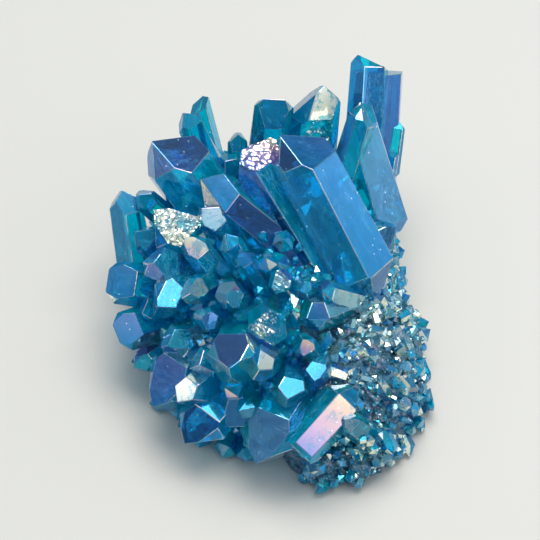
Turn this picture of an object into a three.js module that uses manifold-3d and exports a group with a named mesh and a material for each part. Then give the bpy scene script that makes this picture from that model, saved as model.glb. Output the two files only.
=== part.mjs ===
// A cluster of quartz points grown together on a broken quartz matrix, in millimetres, +Z up.
// The points and the matrix are one natural solid, so the cluster is one mesh.
import * as THREE from "three";
import { mergeVertices } from "three/addons/utils/BufferGeometryUtils.js";
import Module from "manifold-3d";

const wasm = await Module();
wasm.setup();

// The layout is measured as the cluster is seen from the front and above. A place is given by
// how far right and how far up it is seen from the middle of the view, and its height off the table.
const SIGHT_ELEVATION = THREE.MathUtils.degToRad(50);
const SIGHT_DISTANCE = 450;
const SIGHT_AIM_HEIGHT = 20;

// Quartz grows six-sided points whose end faces lean 51.8 degrees from the cross-section.
const CAP_SLOPE = THREE.MathUtils.degToRad(51.8);
const SIDES = 6;
const SIDE_TAPER = THREE.MathUtils.degToRad(1.6);

const vector = (x, y, z) => new THREE.Vector3(x, y, z);

// The matrix is three domes run together: one under the crowd of points, one round the roots of
// the great point, and one at the front right. The last two are bare and broken on their right,
// where so many blocks are spread over them, sunk that deep.
const CROWDED_DOME = { centre: vector(1, 3, 0), radii: vector(25.6, 33.4, 28), detail: 7 };
const ROOT_DOME = {
  centre: vector(14, 5, 8),
  radii: vector(11.4, 17, 17),
  detail: 6,
  blocks: 60,
  sunk: 1.8,
  seed: 9,
};
const FRONT_DOME = {
  centre: vector(13, -14, 0),
  radii: vector(17.5, 24, 20),
  detail: 8,
  blocks: 150,
  sunk: 0.8,
  seed: 8,
};
const BROKEN_SIDE = vector(0.86, -0.5, 0.1).normalize();

const RIGHT = vector(1, 0, 0);
const TOWARDS_EYE = vector(0, -Math.cos(SIGHT_ELEVATION), Math.sin(SIGHT_ELEVATION));
const UP_THE_VIEW = TOWARDS_EYE.clone().cross(RIGHT);
const AIM = vector(0, 0, SIGHT_AIM_HEIGHT);
const EYE = AIM.clone().addScaledVector(TOWARDS_EYE, SIGHT_DISTANCE);

// The place that is seen at x, y in the view and stands at that height.
function seen([x, y, height]) {
  const sighted = AIM.clone().addScaledVector(RIGHT, x).addScaledVector(UP_THE_VIEW, y).sub(EYE);
  return EYE.clone().addScaledVector(sighted, (height - EYE.z) / sighted.z);
}

// Numbers from 0 to 1 that are the same on every run.
function dice(seed) {
  let state = (seed * 2654435761) >>> 0;
  return () => {
    state = (state + 0x6d2b79f5) >>> 0;
    let t = Math.imul(state ^ (state >>> 15), 1 | state);
    t = (t + Math.imul(t ^ (t >>> 7), 61 | t)) ^ t;
    return ((t ^ (t >>> 14)) >>> 0) / 4294967296;
  };
}

function solidOf(geometry) {
  const bare = geometry.clone();
  bare.deleteAttribute("normal");
  bare.deleteAttribute("uv");
  const merged = mergeVertices(bare, 1e-4);
  return new wasm.Manifold(
    new wasm.Mesh({
      numProp: 3,
      vertProperties: merged.attributes.position.array,
      triVerts: new Uint32Array(merged.index.array),
    }),
  );
}

// Keeps what lies behind the plane through a point.
function cut(solid, normal, point) {
  return solid.trimByPlane([-normal.x, -normal.y, -normal.z], -normal.dot(point));
}

// No point is perfectly regular: how much its sides and end faces stray, as shares of its width.
const SIDE_STRAY = 0.32;
const BIG_CAP_STRAY = 0.12;
const SMALL_CAP_RISE = 0.12;
const SMALL_CAP_STRAY = 0.3;

// How far a point's root runs on below its foot, and how much of its width is left at the root's end.
const ROOT = 4;
const ROOT_END = 0.35;

// A quartz point from foot to tip. roll turns its sides about the axis, flat thins it front to back,
// girth sets single sides in or out and lift sets single end faces up, and snap breaks the tip off.
function quartzPoint({ tip, foot, across, roll = 0, flat = 1, root = ROOT, girth, lift, snap, seed = 1 }) {
  const chance = dice(seed);
  const axis = tip.clone().sub(foot).normalize();
  const facing = TOWARDS_EYE.clone().addScaledVector(axis, -TOWARDS_EYE.dot(axis)).normalize();
  facing.applyAxisAngle(axis, THREE.MathUtils.degToRad(roll));
  const start = foot.clone().addScaledVector(axis, -root);
  const length = tip.distanceTo(start);
  const blank = new THREE.BoxGeometry(across * 4, across * 4, length + across * 2);
  blank.translate(0, 0, length / 2 + across);
  const turn = new THREE.Matrix4().makeBasis(facing, axis.clone().cross(facing), axis).setPosition(start);
  let solid = solidOf(blank.applyMatrix4(turn));
  const lean = (out, slope) =>
    axis.clone().multiplyScalar(Math.cos(slope)).addScaledVector(out, Math.sin(slope));
  for (let side = 0; side < SIDES; side++) {
    const out = facing.clone().applyAxisAngle(axis, (side * 2 * Math.PI) / SIDES);
    const thin = side % 3 === 0 ? flat : 1;
    const sideStray = 1 + SIDE_STRAY * (chance() - 0.5);
    const capStray = side % 2 ? SMALL_CAP_RISE + SMALL_CAP_STRAY * chance() : BIG_CAP_STRAY * chance();
    const reach = (across / 2) * thin * (girth ? girth[side] : sideStray);
    const middle = foot.clone().lerp(tip, 0.5).addScaledVector(out, reach);
    solid = cut(solid, lean(out, Math.PI / 2 - SIDE_TAPER), middle);
    const rise = across * (lift ? lift[side] : capStray);
    solid = cut(solid, lean(out, CAP_SLOPE), tip.clone().addScaledVector(axis, rise));
    solid = cut(solid, lean(out, Math.PI - CAP_SLOPE), start.clone().addScaledVector(out, reach * ROOT_END));
  }
  if (!snap) return solid;
  const { sideways = 0, forwards = 0, drop = 0 } = snap;
  const snapped = axis.clone().applyAxisAngle(facing, THREE.MathUtils.degToRad(sideways));
  snapped.applyAxisAngle(axis.clone().cross(facing), THREE.MathUtils.degToRad(forwards));
  return cut(solid, snapped, tip.clone().addScaledVector(axis, -drop));
}

// End faces, as shares of the width above the tip, from the front one round to the right.
const CHISEL = [0, 0.34, 0.3, 0, 0.3, 0.34];
const BLADE = [0, 0.3, 0.2, 0.3, 0.2, 0.05];
const RIDGE = [0.2, 0, 0.3, -0.1, 0.25, 0.2];
const ONE_SIDED = [0.3, 0.06, 0, 0.2, 0.3, 0.3];
const BLUNT = [-0.06, 0.12, 0.02, 0.2, 0.04, 0.14];

// Sides of a point with one wide face, and of one that is thicker on the left.
const WIDE_FACED = [0.66, 0.46, 0.6, 1, 1.2, 1.3];
const LOPSIDED = [0.9, 0.7, 0.7, 1, 1.4, 1.3];

// The large points, by hand. tip and foot are places as seen() takes them.
const LARGE_POINTS = [
  // the great point, and the wide snapped one that it grew beside
  { tip: [3.4, 27.6, 47], foot: [18.4, -2, 22], across: 11.8, roll: -18, lift: RIDGE },
  { tip: [-4.8, 26.2, 42], foot: [12, -1, 21], across: 11.6, roll: 20, snap: { sideways: -8, drop: 1.6 } },
  // the long blade below it
  { tip: [-12.8, 17.4, 38], foot: [12, -3, 19], across: 9.2, roll: 10, lift: BLADE },
  // the tower at the upper right, snapped in two steps
  { tip: [20, 45, 42], foot: [18, 6, 11], across: 7.4, roll: 16, snap: { sideways: -24, drop: 3.2 } },
  { tip: [22.8, 43.6, 40], foot: [19.6, 6, 10], across: 8.6, roll: 24, snap: { sideways: 8, drop: 4.4 } },
  { tip: [25.8, 29.6, 30], foot: [24.6, 22, 24], across: 2.6 },
  { tip: [24.8, 24, 29], foot: [23.6, 18, 22], across: 2.4 },
  // the narrow point and the wide leaning one in front of the tower
  { tip: [18.8, 32.4, 44], foot: [15.4, 20.5, 33], across: 5.2, roll: 4, lift: ONE_SIDED },
  { tip: [18.2, 33.2, 42], foot: [23.4, 15, 25], across: 10, roll: 26, root: 8, girth: WIDE_FACED },
  { tip: [25, 8.4, 28], foot: [18.6, 4.4, 21], across: 6, roll: 20, lift: BLUNT },
  // behind the great point
  { tip: [11, 36.6, 43], foot: [9, 19, 22], across: 9.6, roll: 14, girth: LOPSIDED },
  { tip: [0.8, 34.2, 43], foot: [-0.8, 18, 20], across: 7.2, roll: 6, lift: CHISEL },
  { tip: [1.2, 36.6, 41], foot: [1.5, 28, 28], across: 2.6 },
  // the snapped tower at the upper left, with a stub on its left
  { tip: [-14.6, 35.6, 40], foot: [-10, 15, 17], across: 4.8, roll: 12, snap: { sideways: 28, drop: 3 } },
  { tip: [-16.8, 31.6, 39], foot: [-11, 18, 22], across: 5.4, roll: 20, snap: { forwards: 20, drop: 1.4 } },
  // the left side
  { tip: [-22.4, 26.6, 38], foot: [-9, 9, 20], across: 11, roll: -24, lift: RIDGE },
  { tip: [-29.4, 15.6, 29], foot: [-27, 1, 12], across: 6, roll: 18 },
  { tip: [-26, 15, 31], foot: [-18, 8, 16], across: 5 },
  { tip: [-32.6, -2, 22], foot: [-18, -4, 12], across: 8, lift: CHISEL },
  { tip: [-30.8, -12.8, 16], foot: [-18, -9, 10], across: 7, roll: 10, lift: CHISEL },
  { tip: [-23.6, -27, 13], foot: [-10, -15, 13], across: 11, roll: 34, lift: BLUNT },
  { tip: [-27, -19.4, 10], foot: [-18, -13, 6], across: 4.4 },
  // the lower left, pointing down and to the front
  { tip: [-17.2, -34.6, 10], foot: [-5, -20, 13], across: 10, roll: 12, lift: BLUNT },
  { tip: [-18.4, -26.4, 17], foot: [-8, -18, 17], across: 7, roll: 30 },
  { tip: [-8.4, -19.4, 30], foot: [-4, -11, 16], across: 9.6, roll: 30, lift: BLUNT },
  { tip: [-2.4, -20, 29], foot: [2, -14, 14], across: 6.6, roll: 8 },
  { tip: [-6.4, -31.4, 13], foot: [-6, -17, 17], across: 6.4, roll: 10, lift: CHISEL },
  { tip: [-3, -38.4, 11], foot: [6, -23, 13], across: 10.4, roll: 20, lift: BLUNT },
  // the pale bar at the front
  { tip: [4, -38, 13], foot: [14, -27, 18], across: 7.8, roll: -4, flat: 0.8, snap: { drop: 2 } },
  { tip: [15, -30, 20], foot: [18.6, -32.4, 12], across: 4.2 },
];

// The shorter points that crowd the middle.
const SHORT_POINTS = [
  { tip: [-23, 12, 33], foot: [-12, 0, 20], across: 10, roll: 20, lift: BLUNT },
  { tip: [-26.6, 7.4, 28], foot: [-18, 1, 16], across: 5.6 },
  { tip: [-23, 1.6, 32], foot: [-16, -1, 18], across: 7.6, roll: 30, lift: BLUNT },
  { tip: [-22.4, -7.4, 27], foot: [-12, 0, 18], across: 7.6, roll: 12 },
  { tip: [-16.8, 6.6, 35], foot: [-8, -5, 21], across: 5.4, roll: 10, lift: BLUNT },
  { tip: [-16, -4.6, 33], foot: [-11, -2, 18], across: 5.4 },
  { tip: [-13.4, 12.4, 37], foot: [-5, 3, 22], across: 6, roll: 8 },
  { tip: [-8.8, 7, 37], foot: [-2, -5, 22], across: 5 },
  { tip: [-6, 3.6, 37], foot: [0, -6, 23], across: 4.4 },
  { tip: [-8.6, -5, 37], foot: [-6, -6, 22], across: 5.4, roll: 6, lift: BLUNT },
  { tip: [-13.6, -9.6, 31], foot: [-8, -11, 18], across: 4.6 },
  { tip: [2.2, -2.2, 35], foot: [2.6, -4, 22], across: 4.6, snap: { drop: 1.5 } },
  { tip: [-1, -11.6, 33], foot: [1, -11, 20], across: 8.4, snap: { forwards: 6, drop: 2.8 } },
  { tip: [6, -4, 34], foot: [11, -3, 22], across: 4 },
  { tip: [10.6, -4.2, 34], foot: [17, -6.2, 21], across: 4.2, roll: 4, flat: 0.9 },
  { tip: [7.4, -9.4, 32], foot: [15.4, -6, 20], across: 6 },
  { tip: [6.4, -14, 30], foot: [9, -18, 16], across: 4.4 },
  { tip: [-6.6, 27, 36], foot: [-6.4, 18, 22], across: 4 },
  { tip: [-9, 21.6, 34], foot: [-4, 17, 20], across: 5.4 },
  { tip: [-20.4, -15, 23], foot: [-12, -12, 14], across: 6.4 },
  { tip: [-25.6, -8.6, 19], foot: [-18, -6, 12], across: 5.4 },
  { tip: [-14, -19, 24], foot: [-6, -15, 14], across: 6.6 },
  { tip: [3.6, -26, 22], foot: [5, -18, 14], across: 6.4 },
  { tip: [9, -22, 24], foot: [10, -16, 16], across: 5.4 },
];

// Points by hand and points by chance are numbered apart, so that each keeps its own shape.
const FIRST_LARGE_SEED = 11;
const FIRST_SHORT_SEED = 111;
function placed(points, firstSeed) {
  return points.map((point, i) =>
    quartzPoint({ ...point, tip: seen(point.tip), foot: seen(point.foot), seed: firstSeed + i }),
  );
}

// A slow, smooth bumpiness from a few waves that cross.
function bump(p) {
  return (
    Math.sin(p.x * 0.31 + 1.3) * Math.sin(p.y * 0.27 + 0.4) * 0.9 +
    Math.sin(p.x * 0.63 + p.z * 0.5) * Math.sin(p.y * 0.71 + 2.1) * 0.6 +
    Math.sin(p.x * 1.37 + p.y * 0.9) * Math.sin(p.z * 1.21 + 0.7) * 0.35
  );
}

// A dome's surface along a direction from its centre, or sunk below it.
function onDome({ centre, radii }, direction, sink = 0) {
  return direction.clone().multiply(radii).add(centre).addScaledVector(direction, -sink);
}

function dome(shape) {
  const ball = new THREE.IcosahedronGeometry(1, shape.detail);
  const place = ball.attributes.position;
  for (let i = 0; i < place.count; i++) {
    const direction = new THREE.Vector3().fromBufferAttribute(place, i).normalize();
    const p = onDome(shape, direction);
    p.addScaledVector(direction, bump(p));
    place.setXYZ(i, p.x, p.y, p.z);
  }
  return solidOf(ball);
}

// Directions spread evenly over a dome, from a lowest height up.
const GOLDEN_ANGLE = Math.PI * (3 - Math.sqrt(5));
function spread(count, lowest, chance, scatter = 0.5) {
  return Array.from({ length: count }, (_, i) => {
    const z = lowest + (1 - lowest) * ((i + 0.5) / count);
    const angle = i * GOLDEN_ANGLE + (chance() - 0.5) * scatter;
    const ring = Math.sqrt(1 - z * z);
    return vector(Math.cos(angle) * ring, Math.sin(angle) * ring, z);
  });
}

// Small points all over the crowded dome: short in front, longer at the back, none on the broken side.
const CROWD = { count: 118, lowest: 0.06, bareFrom: 0.46, sunk: 4, lean: 0.9, firstSeed: 301 };
const CROWD_STAND = { least: 1.6, stray: 2.8, strayAtBack: 6.5 };
const CROWD_ACROSS = { least: 3, stray: 2.8, moreAtBack: 2 };
function crowd() {
  const chance = dice(5);
  const made = [];
  for (const direction of spread(CROWD.count, CROWD.lowest, chance)) {
    const back = THREE.MathUtils.smoothstep(direction.y, 0, 0.7);
    const stray = CROWD_STAND.stray * chance() + CROWD_STAND.strayAtBack * back * chance();
    const stand = CROWD_STAND.least + stray;
    const across = CROWD_ACROSS.least + CROWD_ACROSS.stray * chance() + CROWD_ACROSS.moreAtBack * back;
    const lean = vector(chance() - 0.5, chance() - 0.5, chance() - 0.2).multiplyScalar(CROWD.lean);
    const roll = 60 * chance();
    if (direction.dot(BROKEN_SIDE) > CROWD.bareFrom) continue;
    const foot = onDome(CROWDED_DOME, direction, CROWD.sunk);
    const outward = direction.clone().divide(CROWDED_DOME.radii).normalize().add(lean).normalize();
    const tip = foot.clone().addScaledVector(outward, stand + CROWD.sunk);
    made.push(quartzPoint({ tip, foot, across, roll, seed: CROWD.firstSeed + made.length }));
  }
  return made;
}

// An angular block of broken quartz, cut from a box by planes that face every way.
const BLOCK_CUTS = 9;
const BLOCK_NEAREST = 0.42;
const BLOCK_STRAY = 0.3;
function block(centre, size, chance) {
  const blank = new THREE.BoxGeometry(size * 2, size * 2, size * 2).translate(...centre);
  let solid = solidOf(blank);
  const tumble = new THREE.Euler(...[1, 1, 1].map((turns) => 2 * Math.PI * turns * chance()));
  for (let i = 0; i < BLOCK_CUTS; i++) {
    const z = 2 * ((i + 0.5) / BLOCK_CUTS) - 1;
    const angle = i * GOLDEN_ANGLE;
    const ring = Math.sqrt(1 - z * z);
    const normal = vector(Math.cos(angle) * ring, Math.sin(angle) * ring, z).applyEuler(tumble);
    const reach = size * (BLOCK_NEAREST + BLOCK_STRAY * chance());
    solid = cut(solid, normal, centre.clone().addScaledVector(normal, reach));
  }
  return solid;
}

// Broken blocks over the bare side of a dome.
const RUBBLE = { lowest: 0.03, bareFrom: 0.08, smallest: 2.2, stray: 2.6 };
function rubble(shape) {
  const chance = dice(shape.seed);
  const made = [];
  for (const direction of spread(shape.blocks, RUBBLE.lowest, chance)) {
    const size = RUBBLE.smallest + RUBBLE.stray * chance();
    if (direction.dot(BROKEN_SIDE) < RUBBLE.bareFrom) continue;
    made.push(block(onDome(shape, direction, shape.sunk), size, chance));
  }
  return made;
}

// Keeps the outer skin alone, so no pocket stays shut in between points that close over it.
function filled(solid) {
  return solid.decompose().reduce((kept, skin) => (skin.volume() > kept.volume() ? skin : kept));
}

// Everything grown together and set down on a flat base.
function cluster() {
  const matrix = [CROWDED_DOME, ROOT_DOME, FRONT_DOME].map(dome);
  const blocks = [FRONT_DOME, ROOT_DOME].flatMap(rubble);
  const points = [
    ...placed(LARGE_POINTS, FIRST_LARGE_SEED),
    ...placed(SHORT_POINTS, FIRST_SHORT_SEED),
    ...crowd(),
  ];
  const whole = wasm.Manifold.union([...matrix, ...blocks, ...points]);
  return filled(cut(whole, vector(0, 0, -1), vector(0, 0, 0)));
}

// The solid as a mesh with flat faces, its lowest face on z = 0 and its middle on the axis.
function meshOf(solid, name, material) {
  const { vertProperties, triVerts, numProp } = solid.getMesh();
  const corners = new Float32Array((vertProperties.length / numProp) * 3);
  for (let i = 0; i * numProp < vertProperties.length; i++) {
    corners.set(vertProperties.subarray(i * numProp, i * numProp + 3), i * 3);
  }
  const geometry = new THREE.BufferGeometry();
  geometry.setAttribute("position", new THREE.BufferAttribute(corners, 3));
  geometry.setIndex(new THREE.BufferAttribute(new Uint32Array(triVerts), 1));
  geometry.computeBoundingBox();
  const middle = geometry.boundingBox.getCenter(new THREE.Vector3());
  geometry.translate(-middle.x, -middle.y, -geometry.boundingBox.min.z);
  const mesh = new THREE.Mesh(geometry, material);
  mesh.name = name;
  return mesh;
}

const auraQuartz = new THREE.MeshStandardMaterial({ color: 0x1077b4, roughness: 0.12, metalness: 0 });

const part = new THREE.Group();
part.add(meshOf(cluster(), "quartz_cluster", auraQuartz));

export default part;
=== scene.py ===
import math

import bmesh
import bpy
from mathutils import Matrix, Vector, noise
from mathutils.bvhtree import BVHTree


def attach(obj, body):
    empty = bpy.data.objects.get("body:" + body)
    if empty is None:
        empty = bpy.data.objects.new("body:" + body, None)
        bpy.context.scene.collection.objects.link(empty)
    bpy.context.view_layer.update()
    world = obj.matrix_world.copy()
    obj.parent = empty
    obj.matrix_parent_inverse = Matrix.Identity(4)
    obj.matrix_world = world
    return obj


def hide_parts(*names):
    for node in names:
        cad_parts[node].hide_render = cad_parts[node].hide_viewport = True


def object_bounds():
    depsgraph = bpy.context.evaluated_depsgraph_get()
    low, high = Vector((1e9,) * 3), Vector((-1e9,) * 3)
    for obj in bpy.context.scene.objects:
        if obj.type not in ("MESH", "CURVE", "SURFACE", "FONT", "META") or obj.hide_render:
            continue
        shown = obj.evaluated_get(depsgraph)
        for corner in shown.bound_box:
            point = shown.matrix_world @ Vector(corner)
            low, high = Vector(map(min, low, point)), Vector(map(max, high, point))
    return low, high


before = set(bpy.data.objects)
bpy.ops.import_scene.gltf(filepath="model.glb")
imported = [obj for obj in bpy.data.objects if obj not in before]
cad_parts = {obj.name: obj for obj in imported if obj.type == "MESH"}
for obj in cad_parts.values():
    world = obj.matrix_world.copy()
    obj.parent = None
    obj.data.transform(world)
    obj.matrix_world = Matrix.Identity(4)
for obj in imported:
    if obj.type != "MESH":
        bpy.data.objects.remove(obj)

bl_info = {
    "name": "Aura quartz cluster",
    "version": (1, 0, 0),
    "blender": (4, 5, 0),
    "location": "3D View > Sidebar > Quartz",
    "description": "Clear, coated quartz points on their matrix, with a floor, lights and a camera",
    "category": "Add Mesh",
}

# The frame and the line of sight, in metres
CAD_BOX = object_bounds()
NODE = "quartz_cluster"
MM = 0.001
SIGHT_ELEVATION = math.radians(50)
SIGHT_DISTANCE = 0.450
SIGHT_AIM = Vector((-0.00005, 0.00005, 0.020))
SIGHT_HALF_WIDTH = 0.054
TOWARDS_EYE = Vector((0, -math.cos(SIGHT_ELEVATION), math.sin(SIGHT_ELEVATION)))
UP_THE_VIEW = Vector((0, math.sin(SIGHT_ELEVATION), math.cos(SIGHT_ELEVATION)))
EYE = SIGHT_AIM + TOWARDS_EYE * SIGHT_DISTANCE

# The rock's rounded forms as centre and radii in mm, and the side on which it lies bare
FRONT_ROCK = (Vector((12.95, -13.95, 0)), Vector((17.5, 24, 20)))
ROOT_ROCK = (Vector((13.95, 5.05, 8)), Vector((11.4, 17, 17)))
CROWDED_ROCK = (Vector((0.95, 3.05, 0)), Vector((25.6, 33.4, 28)))
BARE_SIDE = Vector((0.86, -0.5, 0.1)).normalized()
BARE_SIDE_MIDDLE = Vector((9, -6, 6))

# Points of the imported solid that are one, in metres, and triangles that are one flat facet
SAME_POINT = 2e-6
SAME_FACET = math.radians(0.4)

# What tells a facet of the bare rock from a crystal's: its size, its distance from a rounded form as a
# share of the form's radii, and how far round to the bare side it lies
LARGEST_ROCK_FACET = 16 * MM * MM
ROCK_SKIN = 0.16
LEAST_BARENESS = 0.05
UNDERSIDE_HEIGHT = 0.05 * MM
UNDERSIDE_FACING = -0.99

# Edges that count as a crystal's ridge: least length and angle, and least area of the facets beside it
SHORTEST_RIDGE = 1.8 * MM
FLATTEST_RIDGE = math.radians(18)
SMALLEST_RIDGED_FACET = 2.5 * MM * MM

# What a facet is made of, and the cluster's material slots
CLEAR, ROCK, ROUGH = 0, 1, 2
CRYSTAL_SLOT, ROCK_SLOT, UNDERSIDE_SLOT = 0, 1, 2

# Attributes that carry a facet's finish to the shader, on the face and on its corners
FACE_LAYERS = ("etch", "deep")
CORNER_LAYERS = ("film", "hue", "milk")
STREAKS = "along_crystal"

# Finishes of a facet, from its low side to its high side: how much the film mirrors and its place in the
# film's colours, then the etching, the milkiness, and the body's turn from teal to deep blue. The pale mirror
# finishes (cream, crust, gold, grey, mist, glaze) are partly painted reflections of the lamps and the pale
# surroundings, and the deepest blue of ink and royal is partly painted shade
FINISHES = {
    "glass": (0.00, 0.03, 0.00, 0.12, 0.00, 0.17, 0.26),
    "aqua": (0.00, 0.06, 0.06, 0.20, 0.01, 0.19, 0.44),
    "azure": (0.00, 0.10, 0.10, 0.30, 0.02, 0.16, 0.70),
    "ink": (0.00, 0.10, 0.14, 0.40, 0.01, 0.05, 1.30),
    "royal": (0.00, 0.14, 0.22, 0.44, 0.01, 0.16, 1.34),
    "glaze": (0.00, 0.34, 0.94, 1.00, 0.00, 0.18, 0.64),
    "slate": (0.10, 0.26, 0.20, 0.34, 0.02, 0.20, 0.56),
    "mist": (0.18, 0.34, 0.95, 1.00, 0.00, 0.18, 0.80),
    "lavender": (0.18, 0.42, 0.26, 0.40, 0.02, 0.16, 0.84),
    "violet": (0.30, 0.60, 0.34, 0.50, 0.02, 0.14, 0.90),
    "pink": (0.80, 0.92, 0.45, 0.76, 0.03, 0.20, 0.60),
    "gold": (0.70, 0.90, 0.64, 0.80, 0.06, 0.20, 0.50),
    "cream": (0.85, 0.98, 0.80, 0.90, 0.08, 0.20, 0.30),
    "grey": (0.50, 0.75, 0.97, 1.00, 0.07, 0.24, 0.45),
    "crust": (0.90, 0.98, 0.80, 0.92, 0.24, 0.20, 0.35),
}

# How far a facet strays from its finish, the way in which a finish turns and the least length for it, and the
# clear finishes, which turn in any direction. The way runs up the view and to the right, so a mirror finish
# mirrors more and turns paler towards its side seen at the upper right: a painted reflection gradient
BODY_STRAY = 0.3
HUE_STRAY = 0.06
REFLECTION_TURN_WAY = UP_THE_VIEW + Vector((0.5, 0, 0))
SHORTEST_TURN = 0.2 * MM
CLEAR_FINISHES = ("glass", "aqua", "azure", "slate")

# Milk that gathers at the crystals' feet, and its reach from the crowded rock as a share of its radii
FOOT_MILK = 0.10
FOOT_MILK_REACH = 0.24

# Finishes that fall by chance, each up to its limit between 0 and 1
CHANCE_FINISHES = (
    (0.48, "glass"), (0.70, "aqua"), (0.80, "azure"), (0.83, "slate"), (0.86, "lavender"),
    (0.89, "violet"), (0.90, "pink"), (0.92, "gold"), (0.96, "cream"), (math.inf, "grey"))
GRAIN_FINISHES = (
    (0.14, "glass"), (0.26, "aqua"), (0.42, "slate"), (0.62, "mist"), (0.70, "lavender"),
    (0.84, "grey"), (0.89, "gold"), (math.inf, "cream"))
# Pale mirror finishes for the bevelled ridges: a painted highlight line along each ridge
RIDGE_HIGHLIGHT_FINISHES = ("mist", "lavender", "pink", "cream", "grey")

# Facets with a finish of their own, each by a place on it in mm across and up the view: partly the film's own
# colours, partly painted reflections on the facets given pale mirror finishes (cream, crust, gold, grey,
# mist, glaze), and painted shade on those given ink and royal
FILM_AND_PAINTED_LIGHT_FACETS = {
    "cream": ((11.0, 35.0), (-15.0, -4.0), (-7.6, -1.4), (-2.4, -19.6), (16.4, -31.6), (-4.4, 18.4),
              (-19.0, 10.0)),
    "crust": ((9.0, 29.0), (-0.8, -11.0), (12.4, -16.4)),
    "gold": ((-15.4, 6.0), (-16.8, -25.0), (12.6, -27.0)),
    "pink": ((10.0, -29.0), (-15.0, -34.8), (-2.0, 24.4)),
    "violet": ((-22.6, -23.4), (10.6, -9.6), (-12.6, -9.8), (4.0, 23.4), (-28.0, -14.0)),
    "lavender": ((-10.0, 17.0), (-23.6, 22.0), (-5.6, 2.8), (-29.2, 0.0), (16.0, 16.0),
                 (17.6, 40.0), (10.0, 24.0)),
    "grey": ((14.6, -5.4), (2.0, -2.2), (-10.6, 8.8)),
    "mist": ((23.0, 14.0), (25.0, 8.0), (21.0, 18.0), (15.0, 28.0), (-0.4, -35.0), (-6.4, -26.0)),
    "glaze": ((5.6, 18.4), (6.0, 12.0)),
    "slate": ((12.0, 8.0),),
    "royal": ((22.0, 34.0), (26.0, 36.0)),
    "ink": ((-20.0, 21.0), (-16.0, 22.0), (-4.0, 12.0),
            (-13.2, -31.0), (-8.0, -17.6), (2.0, 10.0), (3.0, 22.0)),
    "aqua": ((-6.0, 7.0),),
    "azure": ((0.0, 33.0),),
}

# Facets that are snapped or crusted instead of flat, by places in the same way
ROUGH_PLACES = ((-0.8, -11.0), (-19.0, 10.0), (9.0, 29.0), (-2.0, 24.4), (12.4, -16.4), (3.2, -20.4),
                (2.2, -2.2))

# Patches where the rock's grains turn grey, gold and cream more often, a painted highlight strongest over the
# rock's top: place in mm across and up the view, reach in mm, strength
HIGHLIGHT_PATCHES = (
    ((19.0, -11.0), 12.0, 0.95), ((22.0, -38.0), 9.0, 0.35), ((14.0, -21.0), 6.0, 0.5),
    ((24.0, -24.0), 8.0, 0.3))

# Relief of the bare rock and of a snapped or crusted facet, as sizes of its grains and shares of their
# height, then the lowest point that it moves and the most rounds of splitting for it
ROCK_RELIEF = ((2.2 * MM, 0.8), (0.9 * MM, 0.35))
CRUST_RELIEF = ((0.9 * MM, 0.8),)
LOWEST_RELIEF = 0.3 * MM
MOST_SPLITS = 9

# A grain's height: how much it slopes, how much it steps up or down, and how deep it sits
GRAIN_SLOPE = 0.8
GRAIN_STEP = 0.35
GRAIN_SINK = 0.1

# Crystals placed by chance: how far they lie from their rock's form as a share of its radii, how far
# round to the bare side they start or stop, their girth in mm, their length, end and sunk foot as
# shares of the girth, and how much they lean
SMALL_POINT = {"depth": (-0.10, 0.17), "bareness": 0.6, "girth": (1.7, 5.0), "length": (0.8, 1.4),
               "end": (0.22, 0.50), "sunk": 0.5, "lean": 1.1}
GRAIN = {"depth": (-0.12, 0.20), "bareness": 0.02, "girth": (0.8, 3.4), "length": (0.6, 1.2),
         "end": (0.25, 0.55), "sunk": 0.45, "lean": 2.2}

# Their foot's width as a share of their head's, the way their peak strays, and their greatest turn
SLIM_FOOT = 0.84
PEAK_WAY = Vector((0.5, 0.2, 0))
ANY_TURN = 6.3

# Where they are looked for: the lowest place and direction, how far the directions stray, and from how
# far outside the rock, in metres
LOWEST_SEED = 1.2 * MM
LOWEST_WAY = -0.05
WAY_STRAY = 0.05
OUTSIDE = 0.05

# Quartz and its film: how they bend light, and the film's thickness in nanometres
QUARTZ_IOR = 1.54
FILM_IOR = 1.9
FILM_THICKNESS = (164, 190)

# Colours by their place on a ramp: the film, partly its own colours and at its cream and grey end painted
# reflections, the body from teal to deep blue, the rock, the underside
FILM_COLOURS = (
    (0.00, (0.01, 0.36, 0.70)), (0.20, (0.07, 0.26, 0.62)), (0.34, (0.25, 0.32, 0.66)),
    (0.46, (0.42, 0.28, 0.62)), (0.58, (0.74, 0.42, 0.58)), (0.70, (0.86, 0.62, 0.46)),
    (0.80, (0.92, 0.86, 0.62)), (0.90, (0.96, 0.95, 0.88)), (1.00, (0.52, 0.54, 0.56)))
BODY_COLOURS = (
    (0.10, (0.0, 0.86, 0.84)), (0.33, (0.0, 0.70, 0.95)), (0.60, (0.0, 0.54, 0.96)),
    (1.00, (0.0, 0.33, 0.86)))
DARK_ROCK = (0.02, 0.15, 0.25)
LIGHT_ROCK = (
    (0.54, (0.10, 0.32, 0.42)), (0.64, (0.24, 0.32, 0.48)), (0.76, (0.50, 0.56, 0.60)),
    (0.88, (0.88, 0.87, 0.78)))
UNDERSIDE_COLOURS = (
    (0.30, (0.55, 0.80, 0.84)), (0.60, (0.80, 0.92, 0.92)), (0.75, (0.95, 0.97, 0.95)))
VEIL_COLOUR = (0.40, 0.84, 0.95, 1)
# White of the tiny flecks that are painted glints on the crystals
GLINT_COLOUR = (0.95, 0.97, 1.0, 1)

# The Mix node's colour sockets, which share their names with its others
MIX_FIRST, MIX_SECOND, MIX_RESULT = 6, 7, 2

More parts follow.
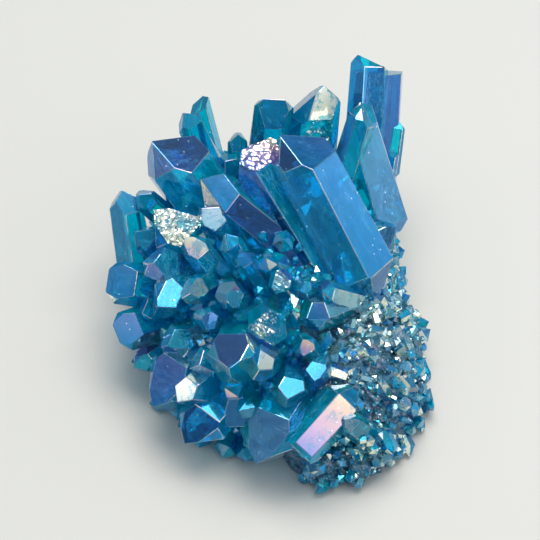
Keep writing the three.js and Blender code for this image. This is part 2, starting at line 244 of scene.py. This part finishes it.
# The stage: the floor in metres, the surroundings' light from the horizon up, and each lamp's place,
# size, share of the key power and colour
FLOOR_REACH = 4
FLOOR_HEIGHT = -0.2 * MM
SKY = (
    (0.0, (0.34, 0.44, 0.54)), (0.12, (0.16, 0.27, 0.40)), (0.55, (0.20, 0.32, 0.46)),
    (0.80, (0.60, 0.68, 0.76)), (1.0, (1.1, 1.1, 1.1)))
LAMPS = {
    "overhead": ((0.07, 0.09, 0.61), (0.48, 0.38), 1.0, (1.0, 0.975, 0.94)),
    "right_panel": ((0.50, -0.10, 0.18), (0.50, 0.26), 0.13, (0.93, 0.97, 1.0)),
    "front_glint": ((0.155, -0.30, 0.385), (0.18, 0.18), 0.032, (1.0, 0.86, 0.78)),
    "left_glint": ((-0.40, -0.12, 0.31), (0.07, 0.10), 0.011, (1.0, 0.97, 0.92)),
}


class QuartzLooks(bpy.types.PropertyGroup):
    # The ridge bevel's width, which is also the width of its painted highlight line
    ridge_width: bpy.props.FloatProperty(
        name="Ridge Width", description="Width of the worn line along a crystal's ridges",
        default=0.14 * MM, min=0, unit="LENGTH")
    grain_edge: bpy.props.FloatProperty(
        name="Grain Edge", description="Longest edge left on the bare rock",
        default=0.5 * MM, min=0.1 * MM, unit="LENGTH")
    grain_height: bpy.props.FloatProperty(
        name="Grain Height", description="How far the rock's grains stand up",
        default=0.55 * MM, min=0, unit="LENGTH")
    small_points: bpy.props.IntProperty(
        name="Small Points", description="Places tried for a small point in the clefts",
        default=1700, min=0)
    rock_grains: bpy.props.IntProperty(
        name="Rock Grains", description="Places tried for a grain on each form of the bare rock",
        default=1700, min=0)
    body_colour: bpy.props.FloatVectorProperty(
        name="Body Colour", description="Colour that light keeps deep inside the crystal",
        default=(0.0, 0.93, 0.975), size=3, min=0, max=1, subtype="COLOR")
    body_density: bpy.props.FloatProperty(
        name="Body Density", description="How fast the crystal takes up light, per metre",
        default=320, min=0)
    rock_colour: bpy.props.FloatVectorProperty(
        name="Rock Colour", description="Main colour of the matrix",
        default=(0.06, 0.22, 0.33), size=3, min=0, max=1, subtype="COLOR")


class StageLooks(bpy.types.PropertyGroup):
    floor_colour: bpy.props.FloatVectorProperty(
        name="Floor Colour", description="Colour of the pale floor",
        default=(0.668, 0.64, 0.58), size=3, min=0, max=1, subtype="COLOR")
    sky_strength: bpy.props.FloatProperty(
        name="Sky Strength", description="Brightness of the surroundings", default=1.0, min=0)
    key_power: bpy.props.FloatProperty(
        name="Key Power", description="Power of the large overhead lamp, which the others follow",
        default=2.9, min=0, unit="POWER")


# Small helpers

def within(span, share):
    """A number between two others."""
    low, high = span
    return low + (high - low) * share


def chance(point, facing, use):
    """A number from 0 to 1 that stays the same for a place, a direction and the number of its use."""
    spot = point * 610 + facing * 3.7 + Vector((use * 17.3, use * 5.1, use * 29.7))
    return 0.5 + 0.5 * noise.cell(spot)


def stray(spot):
    """A vector that stays the same for a place, with each part from -0.5 to 0.5."""
    return noise.cell_vector(spot) - Vector((0.5, 0.5, 0.5))


def depth_in(rock, point):
    """How far a point lies outside a rounded form, as a share of its radii: 0 on the surface."""
    centre, radii = rock
    away = point / MM - centre
    return math.sqrt(sum((away[i] / radii[i]) ** 2 for i in range(3))) - 1


def sight(across, up):
    """The direction from the eye through a place given in mm across and up the view."""
    return (SIGHT_AIM + Vector((across * MM, 0, 0)) + UP_THE_VIEW * (up * MM) - EYE).normalized()


def seen_at(point):
    """Where a point is seen, in mm across and up the view."""
    away = point - EYE
    scale = SIGHT_DISTANCE / -away.dot(TOWARDS_EYE) / MM
    return Vector((away.x, away.dot(UP_THE_VIEW))) * scale


def finished(bm, name, materials):
    """Makes the object from a bmesh, and puts it on the cluster's body."""
    mesh = bpy.data.meshes.new(name)
    bm.to_mesh(mesh)
    bm.free()
    for material in materials:
        mesh.materials.append(material)
    obj = bpy.data.objects.new(name, mesh)
    bpy.context.scene.collection.objects.link(obj)
    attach(obj, "root")
    return obj


# Facets

def whole_facets():
    """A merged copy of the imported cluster, with each flat facet as one face."""
    bm = bmesh.new()
    bm.from_mesh(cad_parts[NODE].data)
    bmesh.ops.remove_doubles(bm, verts=bm.verts, dist=SAME_POINT)
    bmesh.ops.dissolve_limit(
        bm, angle_limit=SAME_FACET, use_dissolve_boundaries=False,
        verts=bm.verts, edges=bm.edges, delimit=set())
    return bm


def is_rock(face):
    """Says whether a facet belongs to the bare rock, its rubble or the flat underside."""
    centre = face.calc_center_median()
    if centre.z < UNDERSIDE_HEIGHT:
        return True
    if face.calc_area() > LARGEST_ROCK_FACET:
        return False
    on_rock = any(abs(depth_in(rock, centre)) < ROCK_SKIN for rock in (FRONT_ROCK, ROOT_ROCK))
    bareness = (centre / MM - BARE_SIDE_MIDDLE).normalized().dot(BARE_SIDE)
    return on_rock and bareness > LEAST_BARENESS


def is_underside(face):
    """Says whether a face is part of the flat underside."""
    return face.normal.z < UNDERSIDE_FACING and face.calc_center_median().z < UNDERSIDE_HEIGHT


def is_ridge(edge, kind):
    """Says whether an edge is a long outer ridge between two large crystal facets."""
    return (
        len(edge.link_faces) == 2 and edge.is_convex and edge.calc_length() > SHORTEST_RIDGE
        and edge.calc_face_angle(0) > FLATTEST_RIDGE
        and all(face[kind] == CLEAR and face.calc_area() > SMALLEST_RIDGED_FACET
                for face in edge.link_faces))


def marked_facets(bm, marks):
    """The name of each facet that is seen at a marked place."""
    bm.faces.ensure_lookup_table()
    bm.faces.index_update()
    tree = BVHTree.FromBMesh(bm)
    found = {}
    for name, places in marks.items():
        for across, up in places:
            _, _, index, _ = tree.ray_cast(EYE, sight(across, up))
            if index is not None:
                found[index] = name
    return found


def pick(luck, finishes):
    """The finish that a number from 0 to 1 falls on."""
    return next(name for limit, name in finishes if luck < limit)


def grain_finish(face):
    """A grain's finish, which is grey, gold and cream more often in the patches of painted highlight."""
    centre = face.calc_center_median()
    luck = chance(centre, face.normal, 51)
    for place, reach, strength in HIGHLIGHT_PATCHES:
        luck += strength * max(0, 1 - (seen_at(centre) - Vector(place)).length / reach)
    return pick(luck, GRAIN_FINISHES)


def ridge_highlight_finish(face):
    """A bevelled ridge's finish, always a pale mirror one, as a painted highlight line."""
    just_under = len(RIDGE_HIGHLIGHT_FINISHES) - 0.01
    return RIDGE_HIGHLIGHT_FINISHES[int(just_under * chance(face.calc_center_median(), face.normal, 7))]


def finish_layers(bm):
    """The layers that hold a facet's finish, made the first time they are asked for."""
    faces, corners = bm.faces.layers.float, bm.loops.layers.float
    return [
        layers.get(name) or layers.new(name)
        for layers, names in ((faces, FACE_LAYERS), (corners, CORNER_LAYERS)) for name in names]


def dress(bm, faces, finish_of):
    """Writes each facet's finish, which turns a little from its low side to its high side; on the mirror
    finishes the high side lies up the view, a painted reflection gradient.
    """
    etch, deep, film, hue, milk = finish_layers(bm)
    for face in faces:
        centre, facing = face.calc_center_median(), face.normal
        name = finish_of(face)
        film_low, film_high, hue_low, hue_high, pits, milkiness, blue = FINISHES[name]
        face[etch] = pits
        face[deep] = blue + BODY_STRAY * (chance(centre, facing, 2) - 0.5)
        hue_stray = HUE_STRAY * (chance(centre, facing, 3) - 0.5)
        clear = name in CLEAR_FINISHES
        way = stray(centre * 300 + facing * 5).normalized() if clear else REFLECTION_TURN_WAY
        rises = [(loop.vert.co - centre).dot(way) for loop in face.loops]
        reach = max(max(rises) - min(rises), SHORTEST_TURN)
        for loop, rise in zip(face.loops, rises):
            high = (rise - min(rises)) / reach
            loop[film] = within((film_low, film_high), high)
            loop[hue] = within((hue_low, hue_high), high) + hue_stray
            away = max(0, depth_in(CROWDED_ROCK, loop.vert.co))
            loop[milk] = milkiness + FOOT_MILK * max(0, 1 - away / FOOT_MILK_REACH)


def bevel_with_ridge_highlights(bm, kind, width):
    """Takes the sharpness off the long ridges of the crystals, and gives the bevels pale mirror finishes as a
    painted highlight along each ridge.
    """
    bevelled = bmesh.ops.bevel(
        bm, geom=[edge for edge in bm.edges if is_ridge(edge, kind)], offset=width, offset_type="OFFSET",
        segments=3, profile=0.5, affect="EDGES", clamp_overlap=False, material=-1)
    bm.normal_update()
    dress(bm, bevelled["faces"], ridge_highlight_finish)


def of_kind(bm, kind, chosen):
    """The faces of one kind, apart from those that face straight down."""
    return [face for face in bm.faces if face[kind] == chosen and face.normal.z > UNDERSIDE_FACING]


def refine(bm, kind, chosen, longest):
    """Splits the chosen kind of facet until none of its edges is longer than this."""
    for _ in range(MOST_SPLITS):
        bmesh.ops.triangulate(bm, faces=[face for face in of_kind(bm, kind, chosen) if len(face.verts) > 3])
        split = set(of_kind(bm, kind, chosen))
        edges = [
            edge for edge in bm.edges
            if edge.calc_length() > longest and not split.isdisjoint(edge.link_faces)]
        if not edges:
            break
        bmesh.ops.subdivide_edges(bm, edges=edges, cuts=1)


def relief(point, cell, height):
    """Height of a crushed, many-sided grain at a point."""
    _, seeds = noise.voronoi(point / cell)
    seed = seeds[0]
    slope = (point / cell - seed).dot(noise.cell_vector(seed * 7.31))
    step = noise.cell(seed * 3.17)
    return height * (GRAIN_SLOPE * slope + GRAIN_STEP * step - GRAIN_SINK)


def raise_grains(bm, kind, chosen, cells, height):
    """Pushes the chosen facets' inner points out and in, to broken, sugary grains."""
    inner = [
        vert for vert in bm.verts
        if vert.link_faces and all(face[kind] == chosen for face in vert.link_faces)
        and vert.co.z > LOWEST_RELIEF]
    rises = [sum(relief(vert.co, cell, height * share) for cell, share in cells) for vert in inner]
    for vert, rise in zip(inner, rises):
        vert.co += vert.normal * rise


def keep_inside(bm):
    """Keeps every point inside the cluster's own box."""
    low, high = CAD_BOX
    for vert in bm.verts:
        for i in range(3):
            vert.co[i] = min(max(vert.co[i], low[i]), high[i])


def lay_streaks(bm):
    """Lays each facet out in metres, with its longest edge upright."""
    layer = bm.loops.layers.uv.new(STREAKS)
    for face in bm.faces:
        longest = max(face.edges, key=lambda edge: edge.calc_length())
        up = (longest.verts[1].co - longest.verts[0].co).normalized()
        across = up.cross(face.normal)
        for loop in face.loops:
            loop[layer].uv = (loop.vert.co.dot(across), loop.vert.co.dot(up))


# Small points and grains

def sprout(bm, foot, way, girth, length, roll, end):
    """Adds one short six-sided point, a little slimmer at its foot."""
    turn = way.to_track_quat("Z", "Y").to_matrix().to_4x4() @ Matrix.Rotation(roll, 4, "Z")
    place = Matrix.Translation(foot + way * (length * 0.5)) @ turn
    radius = girth * 0.5
    made = bmesh.ops.create_cone(
        bm, cap_ends=True, segments=6, radius1=radius * SLIM_FOOT, radius2=radius, depth=length,
        matrix=place)
    faces = {face for vert in made["verts"] for face in vert.link_faces}
    cap = max(faces, key=lambda face: face.calc_center_median().dot(way))
    peak = bmesh.ops.poke(bm, faces=[cap])["verts"][0]
    side = turn.to_3x3() @ PEAK_WAY
    peak.co += way * (girth * end) + side * (radius * (chance(foot, way, 11) - 0.5))


def spread(count):
    """Even directions over a ball, each with its number."""
    for number in range(count):
        height = 1 - 2 * (number + 0.5) / count
        angle = number * math.pi * (3 - math.sqrt(5))
        flat = math.sqrt(1 - height * height)
        yield number, Vector((flat * math.cos(angle), flat * math.sin(angle), height))


def seeds_on(rock, count, depth, wanted):
    """Places on the cluster's surface, close over one rounded form of the rock."""
    centre, radii = rock
    lowest, highest = depth
    whole = whole_facets()
    tree = BVHTree.FromBMesh(whole)
    whole.free()
    for number, way in spread(count):
        if way.z < LOWEST_WAY:
            continue
        around = (way + stray(way * 37.1) * WAY_STRAY).normalized()
        on_rock = Vector([centre[i] + radii[i] * around[i] for i in range(3)]) * MM
        outward = Vector([around[i] / radii[i] for i in range(3)]).normalized()
        hit, facing, _, _ = tree.ray_cast(on_rock + outward * OUTSIDE, -outward)
        if hit is None or hit.z < LOWEST_SEED:
            continue
        if lowest < depth_in(rock, hit) < highest and wanted(outward.dot(BARE_SIDE)):
            yield number, hit, outward, facing


# Materials

def socket(shader, name, value):
    """Sets one of a shader's own values."""
    shader.inputs[name].default_value = value


def feed(tree, target, value):
    """Links an input to another node's output, or gives it a plain value."""
    if isinstance(value, bpy.types.NodeSocket):
        tree.links.new(value, target)
    else:
        target.default_value = value


def node(tree, kind, settings=None, **inputs):
    """Adds a node, with its own settings and with values or links for its inputs."""
    made = tree.nodes.new(kind)
    for key, value in (settings or {}).items():
        setattr(made, key, value)
    for key, value in inputs.items():
        feed(tree, made.inputs[key], value)
    return made


def calc(tree, operation, *values, clamp=False):
    """The result of a Math node."""
    made = node(tree, "ShaderNodeMath", {"operation": operation, "use_clamp": clamp})
    for target, value in zip(made.inputs, values):
        feed(tree, target, value)
    return made.outputs[0]


def mix(tree, factor, first, second):
    """A colour between two others."""
    made = node(tree, "ShaderNodeMix", {"data_type": "RGBA"}, Factor=factor)
    feed(tree, made.inputs[MIX_FIRST], first)
    feed(tree, made.inputs[MIX_SECOND], second)
    return made.outputs[MIX_RESULT]


def between(tree, value, start, end, low=0.0, high=1.0):
    """Turns a value from start to end into one from low to high."""
    made = node(tree, "ShaderNodeMapRange", Value=value)
    for name, number in (("From Min", start), ("From Max", end), ("To Min", low), ("To Max", high)):
        socket(made, name, number)
    return made.outputs["Result"]


def ramp(tree, factor, stops):
    """A colour ramp with these places and colours."""
    made = tree.nodes.new("ShaderNodeValToRGB")
    elements = made.color_ramp.elements
    while len(elements) < len(stops):
        elements.new(0.5)
    for element, (place, colour) in zip(elements, stops):
        element.position = place
        element.color = (*colour, 1)
    tree.links.new(factor, made.inputs["Fac"])
    return made.outputs["Color"]


def clouds(tree, place, scale, detail=2, roughness=0.5, distortion=0.0):
    """A soft noise pattern."""
    return node(tree, "ShaderNodeTexNoise", Vector=place, Scale=scale, Detail=detail,
                Roughness=roughness, Distortion=distortion).outputs["Fac"]


def drawn_out(tree, streaks, scale):
    """The facet's own layout, stretched along its crystal."""
    return node(tree, "ShaderNodeMapping", Vector=streaks, Scale=scale).outputs["Vector"]


def new_material(name):
    """An empty material with its output and its Principled shader."""
    material = bpy.data.materials.new(name)
    material.use_nodes = True
    tree = material.node_tree
    tree.nodes.clear()
    output = tree.nodes.new("ShaderNodeOutputMaterial")
    shader = tree.nodes.new("ShaderNodeBsdfPrincipled")
    tree.links.new(shader.outputs["BSDF"], output.inputs["Surface"])
    return material, tree, shader, output


def fill_with_colour(tree, output, looks):
    """Lets the body take up light, the more the further it goes."""
    body = node(tree, "ShaderNodeVolumeAbsorption", Color=(*looks.body_colour, 1), Density=looks.body_density)
    tree.links.new(body.outputs["Volume"], output.inputs["Volume"])


def crystal_material(looks):
    """Clear blue quartz under a thin metal film whose colour turns from facet to facet, partly the film's own
    colours and partly painted reflections, with painted glints.
    """
    material, tree, shader, output = new_material("coated_quartz")
    place = node(tree, "ShaderNodeTexCoord").outputs["Object"]
    streaks = node(tree, "ShaderNodeUVMap", {"uv_map": STREAKS}).outputs["UV"]
    etch, deep, film, hue, milk = [
        node(tree, "ShaderNodeAttribute", {"attribute_name": name}).outputs["Fac"]
        for name in FACE_LAYERS + CORNER_LAYERS]

    # The film's colour drifts a little over each facet
    drift = clouds(tree, place, scale=140)
    drifted = calc(tree, "SUBTRACT", calc(tree, "MULTIPLY_ADD", drift, 0.16, hue), 0.08)
    film_colour = ramp(tree, drifted, FILM_COLOURS)

    # The body, with milky veils and thin strokes along the crystal
    wash = clouds(tree, place, scale=90)
    washed = calc(tree, "MULTIPLY_ADD", wash, 0.8, deep)
    body_colour = ramp(tree, between(tree, washed, start=0.4, end=1.7), BODY_COLOURS)
    veils = clouds(tree, drawn_out(tree, streaks, (420, 130, 1)), scale=1, detail=6, roughness=0.7,
                   distortion=1.4)
    off_middle = calc(tree, "ABSOLUTE", calc(tree, "SUBTRACT", veils, 0.5))
    strokes = calc(tree, "MULTIPLY", between(tree, off_middle, start=0.016, end=0.004),
                   between(tree, wash, start=0.50, end=0.60))
    veil = calc(tree, "MAXIMUM", between(tree, veils, start=0.58, end=0.76), strokes)
    inside = mix(tree, calc(tree, "MULTIPLY", veil, 0.45), body_colour, VEIL_COLOUR)

    # The film is torn where a facet is etched, and tiny white metal flecks on it are painted glints
    ragged = calc(tree, "MULTIPLY_ADD", etch, -0.35, clouds(tree, place, scale=300, detail=6, roughness=0.8))
    holes = calc(tree, "MULTIPLY", calc(tree, "MULTIPLY", etch, 7.0, clamp=True),
                 between(tree, ragged, start=0.47, end=0.43))
    mirror = calc(tree, "MULTIPLY", film, calc(tree, "SUBTRACT", 1.0, holes))
    glint_cells = node(tree, "ShaderNodeTexVoronoi", Vector=place, Scale=820).outputs
    few = calc(tree, "GREATER_THAN", glint_cells["Color"], 0.62)
    glint_specks = calc(tree, "MULTIPLY", between(tree, glint_cells["Distance"], start=0.15, end=0.10), few)
    bright = calc(tree, "MULTIPLY", glint_specks, 0.8)
    coated = mix(tree, mirror, inside, film_colour)
    tree.links.new(mix(tree, bright, coated, GLINT_COLOUR), shader.inputs["Base Color"])
    tree.links.new(calc(tree, "MAXIMUM", mirror, bright), shader.inputs["Metallic"])

    # Fine growth lines, uneven faces and etched pits
    lines = clouds(tree, drawn_out(tree, streaks, (300, 4200, 1)), scale=1, detail=3, roughness=0.6)
    pits = node(tree, "ShaderNodeTexVoronoi", Vector=place, Scale=1500).outputs["Distance"]
    lined = calc(tree, "MULTIPLY_ADD", lines, 0.08, clouds(tree, place, scale=420))
    pitted = calc(tree, "MULTIPLY_ADD", pits, etch, lined)
    bump = node(tree, "ShaderNodeBump", Height=pitted, Strength=0.35, Distance=0.06 * MM)
    tree.links.new(bump.outputs["Normal"], shader.inputs["Normal"])
    tree.links.new(calc(tree, "MULTIPLY_ADD", etch, 0.28, 0.04), shader.inputs["Roughness"])

    # The film tints reflections blue, apart from the warm, grey and deepest blue finishes
    thinnest, thickest = FILM_THICKNESS
    thickness = calc(tree, "MULTIPLY_ADD", drift, thickest - thinnest, thinnest)
    tinted = calc(tree, "MULTIPLY", between(tree, hue, start=0.66, end=0.60),
                  between(tree, deep, start=1.12, end=1.06))
    tree.links.new(calc(tree, "MULTIPLY", thickness, tinted), shader.inputs["Thin Film Thickness"])
    socket(shader, "Thin Film IOR", FILM_IOR)

    # The crystal is clear, less so in wisps of milk and in the veils
    wisps = clouds(tree, drawn_out(tree, streaks, (500, 180, 1)), scale=1, detail=4, roughness=0.6,
                   distortion=0.6)
    clouded = calc(tree, "MULTIPLY", milk, between(tree, wisps, start=0.38, end=0.62, low=0.7, high=1.3))
    milky = calc(tree, "MULTIPLY_ADD", veil, 0.35, clouded)
    tree.links.new(calc(tree, "SUBTRACT", 1.0, milky), shader.inputs["Transmission Weight"])
    socket(shader, "IOR", QUARTZ_IOR)
    fill_with_colour(tree, output, looks)
    return material


def rock_material(looks):
    """Crushed, sparkling quartz rock in grey blue, teal and lavender."""
    material, tree, shader, output = new_material("sugary_rock")
    place = node(tree, "ShaderNodeTexCoord").outputs["Object"]
    cells = node(tree, "ShaderNodeTexVoronoi", Vector=place, Scale=900).outputs["Color"]
    patches = clouds(tree, place, scale=190, detail=4, roughness=0.65)
    tone = calc(tree, "SUBTRACT", calc(tree, "MULTIPLY_ADD", cells, 0.35, patches), 0.16)
    colour = ramp(tree, tone, ((0.20, DARK_ROCK), (0.42, looks.rock_colour), *LIGHT_ROCK))
    tree.links.new(colour, shader.inputs["Base Color"])
    tree.links.new(calc(tree, "POWER", cells, 2.5), shader.inputs["Metallic"])
    fine = node(tree, "ShaderNodeTexVoronoi", Vector=place, Scale=2600).outputs["Distance"]
    bump = node(tree, "ShaderNodeBump", Height=fine, Strength=0.6, Distance=0.15 * MM)
    tree.links.new(bump.outputs["Normal"], shader.inputs["Normal"])
    socket(shader, "Roughness", 0.20)
    socket(shader, "IOR", QUARTZ_IOR)
    socket(shader, "Transmission Weight", 0.45)
    socket(shader, "Coat Weight", 0.6)
    socket(shader, "Coat Roughness", 0.08)
    fill_with_colour(tree, output, looks)
    return material


def underside_material():
    """The flat, pale underside on which the cluster rests."""
    material, tree, shader, _ = new_material("pale_underside")
    place = node(tree, "ShaderNodeTexCoord").outputs["Object"]
    patches = clouds(tree, place, scale=300, detail=5, roughness=0.7)
    tree.links.new(ramp(tree, patches, UNDERSIDE_COLOURS), shader.inputs["Base Color"])
    socket(shader, "Roughness", 0.6)
    return material


# Operators

class AddCrystalPoints(bpy.types.Operator):
    """Adds the clear points and the bare rock they have grown on"""
    bl_idname = "quartz.add_crystal_points"
    bl_label = "Add Crystal Points"

    def execute(self, context):
        looks = context.scene.quartz_looks
        bm = whole_facets()
        kind = bm.faces.layers.int.new("kind")
        for face in bm.faces:
            face[kind] = ROCK if is_rock(face) else CLEAR
        for index in marked_facets(bm, {"rough": ROUGH_PLACES}):
            bm.faces[index][kind] = ROUGH
        finish_layers(bm)
        marked = marked_facets(bm, FILM_AND_PAINTED_LIGHT_FACETS)
        dress(bm, bm.faces, lambda face: marked.get(face.index) or pick(
            chance(face.calc_center_median(), face.normal, 1), CHANCE_FINISHES))
        bevel_with_ridge_highlights(bm, kind, looks.ridge_width)
        refine(bm, kind, ROCK, looks.grain_edge)
        refine(bm, kind, ROUGH, looks.grain_edge)
        raise_grains(bm, kind, ROCK, ROCK_RELIEF, looks.grain_height)
        raise_grains(bm, kind, ROUGH, CRUST_RELIEF, looks.grain_height)
        keep_inside(bm)
        lay_streaks(bm)
        for face in bm.faces:
            face.material_index = ROCK_SLOT if face[kind] == ROCK else CRYSTAL_SLOT
            if is_underside(face):
                face.material_index = UNDERSIDE_SLOT
        bm.normal_update()
        points = finished(bm, "quartz_points", [
            crystal_material(looks), rock_material(looks), underside_material()])
        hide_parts(NODE)
        return {"FINISHED"}


class AddSmallPoints(bpy.types.Operator):
    """Adds the small points that fill the clefts of the crowd"""
    bl_idname = "quartz.add_small_points"
    bl_label = "Add Small Points"

    def execute(self, context):
        looks = context.scene.quartz_looks
        habit = SMALL_POINT
        bm = bmesh.new()
        finish_layers(bm)
        for number, hit, outward, facing in seeds_on(
                CROWDED_ROCK, looks.small_points, habit["depth"], lambda bare: bare < habit["bareness"]):
            lean = stray(outward * 91.7 + Vector((number, 0, 0))) * habit["lean"]
            way = (outward + facing * 0.3 + lean).normalized()
            girth = within(habit["girth"], chance(hit, outward, 21) ** 2) * MM
            length = girth * within(habit["length"], chance(hit, outward, 22))
            roll = ANY_TURN * chance(hit, outward, 23)
            end = within(habit["end"], chance(hit, outward, 24))
            sprout(bm, hit - way * (girth * habit["sunk"]), way, girth, length, roll, end)
        bm.normal_update()
        dress(bm, bm.faces, lambda face: pick(
            chance(face.calc_center_median(), face.normal, 31), CHANCE_FINISHES))
        keep_inside(bm)
        lay_streaks(bm)
        finished(bm, "small_points", [bpy.data.materials["coated_quartz"]])
        return {"FINISHED"}


class AddRockGrains(bpy.types.Operator):
    """Adds the bright, many-sided grains that crust the bare rock"""
    bl_idname = "quartz.add_rock_grains"
    bl_label = "Add Rock Grains"

    def execute(self, context):
        looks = context.scene.quartz_looks
        habit = GRAIN
        bm = bmesh.new()
        finish_layers(bm)
        for rock in (FRONT_ROCK, ROOT_ROCK):
            for number, hit, outward, _ in seeds_on(
                    rock, looks.rock_grains, habit["depth"], lambda bare: bare > habit["bareness"]):
                lean = stray(outward * 53.3 + Vector((number, 0, 0))) * habit["lean"]
                way = (outward + lean).normalized()
                girth = within(habit["girth"], chance(hit, outward, 41) ** 2) * MM
                length = girth * within(habit["length"], chance(hit, way, 42))
                roll = ANY_TURN * chance(hit, outward, 43)
                end = within(habit["end"], chance(hit, outward, 44))
                sprout(bm, hit - way * (girth * habit["sunk"]), way, girth, length, roll, end)
        bm.normal_update()
        dress(bm, bm.faces, grain_finish)
        keep_inside(bm)
        lay_streaks(bm)
        finished(bm, "rock_grains", [bpy.data.materials["coated_quartz"]])
        return {"FINISHED"}


class AddStage(bpy.types.Operator):
    """Adds the pale floor, the soft studio light and the camera"""
    bl_idname = "quartz.add_stage"
    bl_label = "Add Stage"

    def execute(self, context):
        looks = context.scene.stage_looks
        self.floor(looks)
        self.surroundings(looks)
        for name, (place, size, share, colour) in LAMPS.items():
            self.lamp(name, place, size, looks.key_power * share, colour)
        self.camera(context.scene)
        context.scene.view_settings.view_transform = "Standard"
        return {"FINISHED"}

    def floor(self, looks):
        """Lays a pale, even floor just under the cluster."""
        bm = bmesh.new()
        bmesh.ops.create_grid(bm, x_segments=1, y_segments=1, size=FLOOR_REACH)
        bmesh.ops.translate(bm, verts=bm.verts, vec=(0, 0, FLOOR_HEIGHT))
        mesh = bpy.data.meshes.new("floor")
        bm.to_mesh(mesh)
        bm.free()
        material, _, shader, _ = new_material("pale_floor")
        socket(shader, "Base Color", (*looks.floor_colour, 1))
        socket(shader, "Roughness", 0.7)
        socket(shader, "Specular IOR Level", 0.2)
        mesh.materials.append(material)
        obj = bpy.data.objects.new("floor", mesh)
        bpy.context.scene.collection.objects.link(obj)

    def surroundings(self, looks):
        """Makes the light bright overhead and dim to the sides, so that only some facets mirror it."""
        world = bpy.data.worlds.new("surroundings")
        bpy.context.scene.world = world
        world.use_nodes = True
        tree = world.node_tree
        tree.nodes.clear()
        output = tree.nodes.new("ShaderNodeOutputWorld")
        way = node(tree, "ShaderNodeTexCoord").outputs["Generated"]
        height = node(tree, "ShaderNodeSeparateXYZ", Vector=way).outputs["Z"]
        sky = node(tree, "ShaderNodeBackground", Color=ramp(tree, height, SKY), Strength=looks.sky_strength)
        tree.links.new(sky.outputs[0], output.inputs["Surface"])

    def lamp(self, name, place, size, power, colour):
        """Adds a soft lamp that faces the cluster."""
        light = bpy.data.lights.new(name, "AREA")
        light.shape = "RECTANGLE"
        light.size, light.size_y = size
        light.energy = power
        light.color = colour
        obj = bpy.data.objects.new(name, light)
        obj.location = place
        obj.rotation_euler = (Vector(place) - SIGHT_AIM).to_track_quat("Z", "Y").to_euler()
        bpy.context.scene.collection.objects.link(obj)

    def camera(self, scene):
        """Adds the camera on the line of sight."""
        camera = bpy.data.cameras.new("camera")
        camera.sensor_width = 36
        camera.lens = camera.sensor_width / 2 * SIGHT_DISTANCE / SIGHT_HALF_WIDTH
        camera.clip_start = 0.01
        eye = bpy.data.objects.new("camera", camera)
        eye.location = EYE
        eye.rotation_euler = TOWARDS_EYE.to_track_quat("Z", "Y").to_euler()
        scene.collection.objects.link(eye)
        scene.camera = eye


class QuartzPanel(bpy.types.Panel):
    """Lists the cluster's pieces and their settings"""
    bl_idname = "VIEW3D_PT_quartz"
    bl_label = "Aura Quartz"
    bl_space_type = "VIEW_3D"
    bl_region_type = "UI"
    bl_category = "Quartz"

    def draw(self, context):
        for group in (context.scene.quartz_looks, context.scene.stage_looks):
            for name in group.bl_rna.properties.keys():
                if name not in ("rna_type", "name"):
                    self.layout.prop(group, name)
        for operator in OPERATORS:
            self.layout.operator(operator.bl_idname)


OPERATORS = (AddCrystalPoints, AddSmallPoints, AddRockGrains, AddStage)
CLASSES = (QuartzLooks, StageLooks, *OPERATORS, QuartzPanel)


def register():
    """Adds the classes and the scene's settings."""
    for cls in CLASSES:
        bpy.utils.register_class(cls)
    bpy.types.Scene.quartz_looks = bpy.props.PointerProperty(type=QuartzLooks)
    bpy.types.Scene.stage_looks = bpy.props.PointerProperty(type=StageLooks)


def unregister():
    """Takes the classes and the scene's settings away again."""
    del bpy.types.Scene.stage_looks
    del bpy.types.Scene.quartz_looks
    for cls in reversed(CLASSES):
        bpy.utils.unregister_class(cls)


def main():
    """Makes every piece and the stage."""
    register()
    bpy.ops.quartz.add_crystal_points()
    bpy.ops.quartz.add_small_points()
    bpy.ops.quartz.add_rock_grains()
    bpy.ops.quartz.add_stage()


if __name__ == "__main__":
    main()
